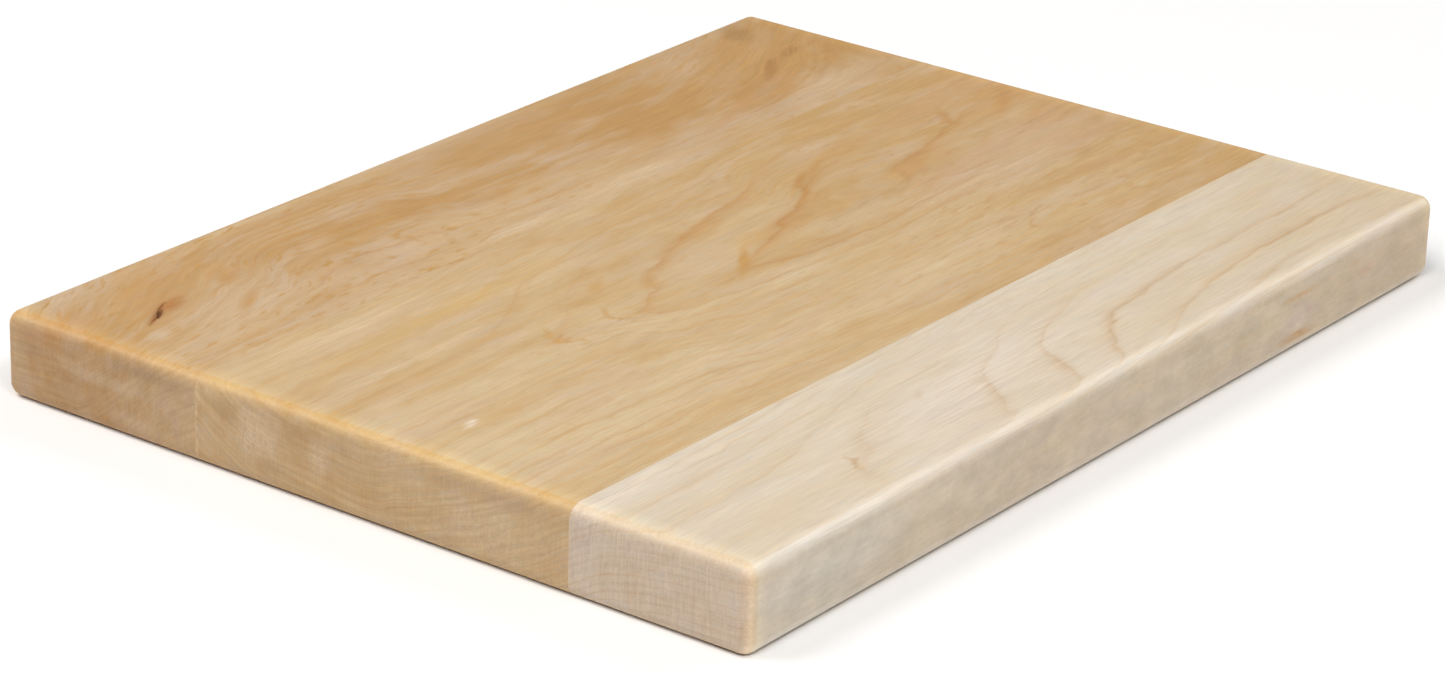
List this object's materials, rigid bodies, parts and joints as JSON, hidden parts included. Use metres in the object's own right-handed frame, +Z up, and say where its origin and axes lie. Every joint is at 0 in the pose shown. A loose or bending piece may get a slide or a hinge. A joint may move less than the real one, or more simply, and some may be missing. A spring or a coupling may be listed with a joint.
{
  "type": "cutting board",
  "caption": "Rectangular edge-glued hardwood cutting board with long-grain planks of different widths and rounded-over edges and corners.",
  "frame": {"origin": "middle of the underside", "axes": "+X along the grain and the board's length, +Y across the board from the pale near plank to the figured far plank, +Z up through the thickness"},
  "size_m": [0.508, 0.381, 0.0381],
  "materials": {
    "pale_maple": "sanded and oiled, satin",
    "tan_maple": "sanded and oiled, satin",
    "figured_maple": "sanded and oiled, satin",
    "cured_glue": "cured wood glue, sanded flush"
  },
  "bodies": {
    "root": {"plank_near": "pale_maple", "plank_middle": "tan_maple", "plank_far": "figured_maple", "glue_line_near": "cured_glue", "glue_line_far": "cured_glue"}
  },
  "joints": []
}
